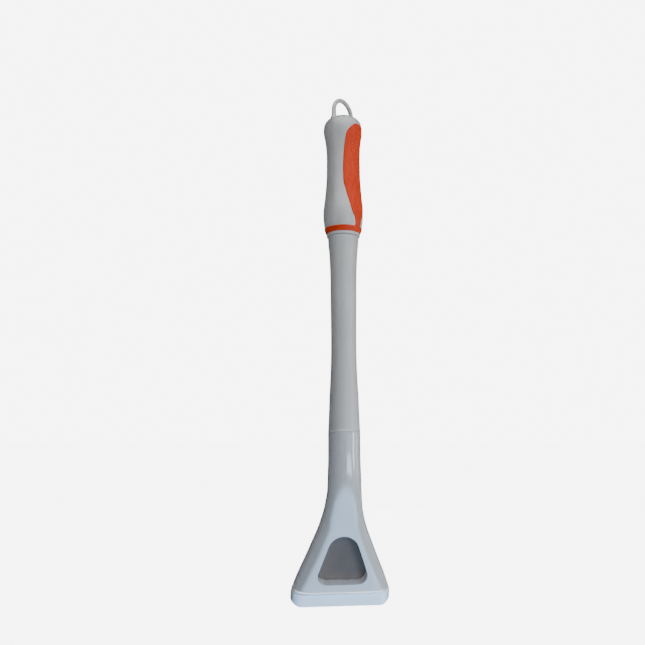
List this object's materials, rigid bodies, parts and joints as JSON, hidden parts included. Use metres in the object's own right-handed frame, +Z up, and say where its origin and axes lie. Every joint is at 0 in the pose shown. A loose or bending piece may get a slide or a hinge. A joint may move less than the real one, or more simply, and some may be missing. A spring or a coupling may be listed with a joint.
{
  "type": "aquarium scraper",
  "caption": "Long-handled aquarium scraper: hanging loop, soft waisted grip, hourglass tube, screw-on flared head with a window, and a slip-on guard over a steel blade.",
  "frame": {"origin": "inner top of the hanging loop, where a hook bears, on the handle's axis", "axes": "+Z up along the handle, from the head to the loop; the head's front faces -Y; +X across the head"},
  "size_m": [0.0758, 0.0456, 0.3974],
  "materials": {
    "white_plastic": "glossy moulded",
    "orange_soft": "satin soft-touch with fine bumps",
    "dark_plastic": "fine matt texture",
    "grey_plastic": "matt",
    "black_rubber": "matt",
    "steel": "brushed"
  },
  "bodies": {
    "handle": {"end_cap": "white_plastic", "grip_core": "white_plastic", "grip_overmould": "orange_soft", "grip_collar": "white_plastic", "grip_washer": "steel", "grip_screw": "steel", "handle_tube": "white_plastic", "thread_bush": "grey_plastic"},
    "seal": {"seal_ring": "black_rubber"},
    "head": {"head_front": "white_plastic", "rear_cover": "dark_plastic", "cover_screw_1": "steel", "cover_screw_2": "steel", "cover_screw_3": "steel", "cover_screw_4": "steel", "blade": "steel", "blade_clamp": "grey_plastic", "clamp_screw_1": "steel", "clamp_screw_2": "steel"},
    "guard": {"blade_guard": "white_plastic"}
  },
  "joints": [
    {"name": "head_travel", "type": "slide", "parent": "handle", "child": "seal", "axis": [0, 0, -1], "range_m": [0, 0.00801]},
    {"name": "head_turn", "type": "hinge", "parent": "seal", "child": "head", "pos_m": [0, 0, -0.26], "axis": [0, 0, -1], "range_deg": [0, 720]},
    {"name": "guard_slide", "type": "slide", "parent": "head", "child": "guard", "axis": [0, 0.2672, -0.9636], "range_m": [0, 0.022]}
  ],
  "couplings": [
    {"joint": "head_travel", "follows": "head_turn", "m_per_rad": 0.00063662}
  ]
}
